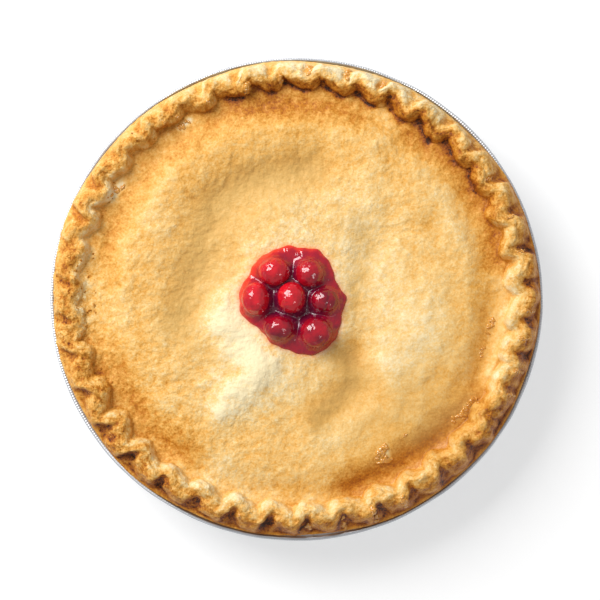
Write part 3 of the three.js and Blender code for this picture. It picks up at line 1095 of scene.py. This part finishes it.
class PIE_OT_cherries(bpy.types.Operator):
    """Makes the seven cherries"""
    bl_idname = "pie.cherries"
    bl_label = "Cherries"

    def execute(self, context):
        for name, centre, half, turn, darkness, _ in cherry_places():
            bm = bmesh.new()
            bmesh.ops.create_uvsphere(bm, u_segments=56, v_segments=36, radius=1)
            for vert in bm.verts:
                self.press(vert, darkness)
            bmesh.ops.scale(bm, verts=bm.verts[:], vec=half)
            bmesh.ops.translate(bm, verts=bm.verts[:], vec=centre)
            bmesh.ops.recalc_face_normals(bm, faces=bm.faces[:])
            mesh = to_mesh(bm, "ripe_" + name)
            material = cherry_finish(context.scene.pie_colours, name, darkness)
            finish_piece("ripe_" + name, mesh, material, "cherry", name)
        return {"FINISHED"}

    def press(self, vert, darkness):
        """Makes a ball slightly uneven, as a cooked cherry is."""
        reach = 1 + 0.04 * noise.noise(vert.co * 1.3 + Vector((darkness * 40, 0, 0)))
        # The darkest cherry split along a seam.
        if darkness == 1.0:
            reach -= 0.09 * math.exp(-((vert.co.x - 0.3 - 0.2 * vert.co.y) / 0.1) ** 2)
        vert.co *= reach


class PIE_OT_sauce(bpy.types.Operator):
    """Pours the sauce round the cherries"""
    bl_idname = "pie.sauce"
    bl_label = "Sauce"

    def execute(self, context):
        topping = context.scene.pie_topping
        mesh = self.flat_pool()
        upper = take_layer(mesh, "upper", np.float32)
        points = read_points(mesh)
        share = np.hypot(points[:, 0], points[:, 1])
        angle = np.arctan2(points[:, 1], points[:, 0])
        looks = np.linspace(-math.pi, math.pi, 721)
        outline = 1 / sauce_share(np.cos(looks), np.sin(looks))
        radius = share * np.interp(angle, looks, outline) * 1.012
        x, y = radius * np.cos(angle), radius * np.sin(angle)
        nearest = self.cherry_distance(x, y)
        edge = lid_height(x, y) + 0.15 * MM
        top = self.top_height(topping, x, y, share, nearest, edge)
        under = np.minimum(sunk_lid_height(x, y, share, topping.dip) + FIT_GAP, edge - 0.1 * MM)
        write_points(mesh, np.stack([x, y, np.where(upper > 0.5, top, under)], axis=1))
        between = 1 - smoothstep(0.5, 0.78, share)
        lit = soft_arc(angle, 135, 75)
        # The sauce is darker where it lies deeper inside the ring of cherries, and painted darker still in
        # the gaps between them, as painted shade.
        depth = 0.52 + 0.36 * between + 0.2 * between * smoothstep(0.3 * MM, 2.0 * MM, nearest)
        # Painted light: the edge on the side of the key light is painted thin and orange, where the gel
        # would glow; all round the edge is a little thinner.
        depth -= 0.42 * lit * smoothstep(0.84, 0.97, share) + 0.1 * smoothstep(0.92, 1.0, share)
        paint(mesh, depth=depth)
        bm = bmesh.new()
        bm.from_mesh(mesh)
        bmesh.ops.recalc_face_normals(bm, faces=bm.faces[:])
        bm.to_mesh(mesh)
        bm.free()
        material = sauce_finish(context.scene.pie_colours)
        finish_piece("poured_sauce", mesh, material, "sauce", "cherry_sauce")
        return {"FINISHED"}

    def flat_pool(self):
        """A round double sheet of radius 1, with its upper side marked."""
        bm = bmesh.new()
        bmesh.ops.create_grid(bm, x_segments=SAUCE_CELLS, y_segments=SAUCE_CELLS, size=1.0)
        disc_from_square(bm, 1.0)
        upper = bm.verts.layers.float.new("upper")
        made = bmesh.ops.extrude_face_region(bm, geom=bm.faces[:])["geom"]
        for part in made:
            if isinstance(part, bmesh.types.BMVert):
                part[upper] = 1.0
        return to_mesh(bm, "poured_sauce")

    def cherry_distance(self, x, y):
        """Distance from each place to the nearest cherry's outline, below 0 inside it."""
        nearest = np.full(len(x), np.inf)
        for _, centre, half, _, _, _ in cherry_places():
            size = (half.x + half.y) / 2
            away = (np.hypot((x - centre.x) / half.x, (y - centre.y) / half.y) - 1) * size
            nearest = np.minimum(nearest, away)
        return nearest

    def top_height(self, topping, x, y, share, nearest, edge):
        """The sauce's upper side: it climbs the cherries, sinks between them and rounds off at the edge."""
        climb = topping.cling * np.exp(-np.clip(nearest, -0.4 * MM, None) / (1.6 * MM))
        hollow = smoothstep(0.6 * MM, 3.0 * MM, nearest) * 0.6 * MM
        ripple = 0.25 * MM * lumps(np.stack([x, y, np.zeros(len(x))], axis=1), 4 * MM, 2, 7.0)
        middle = middle_height() + topping.rise + climb - hollow + ripple
        dome = (1 - np.clip(share, 0, 1) ** 9) ** 0.6
        return blend(edge, middle, dome)


def crust_tree(context):
    """The baked crust, ready to be met by rays."""
    return BVHTree.FromObject(bpy.data.objects["baked_crust"], context.evaluated_depsgraph_get())


def lay_down(bm, template, tree, x, y, chance, spans, scale=1.0):
    """Adds a copy of a small shape of random size, lying on the crust, and returns its vertices."""
    place, normal, _, _ = tree.ray_cast(Vector((x, y, 0.2)), Vector((0, 0, -1)))
    if not place:
        return []
    sizes = [scale * chance.uniform(*span) * MM for span in spans]
    turn = Matrix.Rotation(chance.uniform(0, math.tau), 4, "Z")
    upright = normal.to_track_quat("Z", "Y").to_matrix().to_4x4()
    shape = Matrix.Translation(place) @ upright @ turn @ Matrix.Diagonal((*sizes, 1))
    start = len(bm.verts)
    bm.from_mesh(template)
    bm.verts.ensure_lookup_table()
    for vert in bm.verts[start:]:
        vert.co = shape @ vert.co
    return bm.verts[start:]


class PIE_OT_syrup(bpy.types.Operator):
    """Lets drops of syrup set on the lid and in the notches of the rim"""
    bl_idname = "pie.syrup"
    bl_label = "Syrup"

    def execute(self, context):
        chance = random.Random(11)
        tree = crust_tree(context)
        bm = bmesh.new()
        bmesh.ops.create_uvsphere(bm, u_segments=8, v_segments=6, radius=1)
        ball = to_mesh(bm, "drop")
        bm = bmesh.new()
        for points, spread, count, size in SYRUP + self.rim_lines():
            for _ in range(count):
                at = chance.uniform(0, len(points) - 1.001)
                (x0, y0), (x1, y1) = points[int(at)], points[int(at) + 1]
                x = blend(x0, x1, at % 1) + chance.gauss(0, spread / 2)
                y = blend(y0, y1, at % 1) + chance.gauss(0, spread / 2)
                lay_down(bm, ball, tree, x * MM, y * MM, chance, DROP_SIZES, size)
        bmesh.ops.recalc_face_normals(bm, faces=bm.faces[:])
        mesh = to_mesh(bm, "syrup_drops")
        finish_piece("syrup_drops", mesh, syrup_finish(context.scene.pie_colours), "sauce")
        return {"FINISHED"}

    def rim_lines(self):
        """The syrup of the notches, as lines across the rim."""
        lines = []
        for direction, first, last, count, size in RIM_SYRUP:
            cosine, sine = math.cos(math.radians(direction)), math.sin(math.radians(direction))
            ends = [(radius * cosine, radius * sine) for radius in (first, last)]
            lines.append((ends, RIM_SYRUP_SPREAD, count, size))
        return lines


class PIE_OT_crumbs(bpy.types.Operator):
    """Strews loose crumbs of pastry on the rough parts of the rim"""
    bl_idname = "pie.crumbs"
    bl_label = "Crumbs"

    def execute(self, context):
        chance = random.Random(5)
        tree = crust_tree(context)
        bm = bmesh.new()
        bmesh.ops.create_icosphere(bm, subdivisions=2, radius=1)
        chip = to_mesh(bm, "chip")
        bm = bmesh.new()
        for middle, spread, first, last, count in CRUMBS:
            for _ in range(count):
                angle = math.radians(chance.gauss(middle, spread / 1.5))
                radius = chance.uniform(first, last) * MM
                x, y = radius * math.cos(angle), radius * math.sin(angle)
                for vert in lay_down(bm, chip, tree, x, y, chance, CRUMB_SIZES):
                    vert.co += Vector(noise.noise_vector(vert.co / (0.8 * MM))) * 0.22 * MM
        bmesh.ops.recalc_face_normals(bm, faces=bm.faces[:])
        mesh = to_mesh(bm, "pastry_crumbs")
        paint(mesh, baked=[0.6] * len(mesh.vertices), crumb=[1.0] * len(mesh.vertices))
        finish_piece("pastry_crumbs", mesh, bpy.data.materials["baked_crust"], "crust")
        return {"FINISHED"}


class PIE_OT_stage(bpy.types.Operator):
    """Sets the table top, the light and the camera"""
    bl_idname = "pie.stage"
    bl_label = "Stage"

    def execute(self, context):
        stage = context.scene.pie_stage
        self.table_top()
        self.light("key_light", stage.key_azimuth, stage.key_elevation, 0.95, stage.key_power)
        self.light("low_light", math.radians(-45), math.radians(50), 0.3, stage.key_power * 0.06)
        world = bpy.data.worlds.new("studio")
        context.scene.world = world
        world.use_nodes = True
        background = world.node_tree.nodes["Background"]
        background.inputs["Color"].default_value = (1, 1, 1, 1)
        background.inputs["Strength"].default_value = stage.fill
        context.scene.view_settings.view_transform = "Standard"
        self.camera(context, stage)
        return {"FINISHED"}

    def table_top(self):
        """A plain table that reaches well past the view."""
        bm = bmesh.new()
        bmesh.ops.create_grid(bm, x_segments=2, y_segments=2, size=6.0)
        mesh = to_mesh(bm, "table_top")
        mesh.materials.append(floor_finish())
        floor = bpy.data.objects.new("table_top", mesh)
        bpy.context.scene.collection.objects.link(floor)

    def light(self, name, azimuth, elevation, width, power):
        """A square soft light that looks at the pie."""
        lamp = bpy.data.lights.new(name, "AREA")
        lamp.shape = "SQUARE"
        lamp.size = width
        lamp.energy = power
        light = bpy.data.objects.new(name, lamp)
        flat = math.cos(elevation)
        towards = Vector((flat * math.cos(azimuth), flat * math.sin(azimuth), math.sin(elevation)))
        light.location = towards * LIGHT_DISTANCE
        light.rotation_euler = towards.to_track_quat("Z", "Y").to_euler()
        light.visible_camera = False
        bpy.context.scene.collection.objects.link(light)

    def camera(self, context, stage):
        """Looks straight down, with the back of the pie at the top of the view."""
        lens = bpy.data.cameras.new("camera")
        lens.sensor_width = 36
        lens.lens = lens.sensor_width * stage.view_height / stage.view_width
        lens.clip_end = 20
        camera = bpy.data.objects.new("camera", lens)
        camera.location = (*CAMERA_ASIDE, FLANGE_HEIGHT + stage.view_height)
        context.scene.collection.objects.link(camera)
        context.scene.camera = camera


class PIE_PT_panel(bpy.types.Panel):
    """Lists the steps that make the pie"""
    bl_idname = "PIE_PT_panel"
    bl_label = "Cherry Pie"
    bl_space_type = "VIEW_3D"
    bl_region_type = "UI"
    bl_category = "Pie"

    def draw(self, context):
        for step in STEPS:
            self.layout.operator(step.bl_idname)


SETTINGS = {
    "pie_pan": PIE_PG_pan,
    "pie_crust": PIE_PG_crust,
    "pie_topping": PIE_PG_topping,
    "pie_colours": PIE_PG_colours,
    "pie_stage": PIE_PG_stage,
}
STEPS = [
    PIE_OT_foil_pan, PIE_OT_crust, PIE_OT_sauce, PIE_OT_cherries, PIE_OT_syrup, PIE_OT_crumbs, PIE_OT_stage,
]


def register():
    """Adds the settings, the steps and the panel."""
    for name, group in SETTINGS.items():
        bpy.utils.register_class(group)
        setattr(bpy.types.Scene, name, PointerProperty(type=group))
    for step in STEPS + [PIE_PT_panel]:
        bpy.utils.register_class(step)


def unregister():
    """Takes the panel, the steps and the settings away again."""
    for step in [PIE_PT_panel] + STEPS[::-1]:
        bpy.utils.unregister_class(step)
    for name, group in SETTINGS.items():
        delattr(bpy.types.Scene, name)
        bpy.utils.unregister_class(group)


def main():
    """Builds the pie."""
    register()
    bpy.ops.pie.foil_pan()
    bpy.ops.pie.crust()
    bpy.ops.pie.sauce()
    bpy.ops.pie.cherries()
    bpy.ops.pie.syrup()
    bpy.ops.pie.crumbs()
    bpy.ops.pie.stage()


if __name__ == "__main__":
    main()
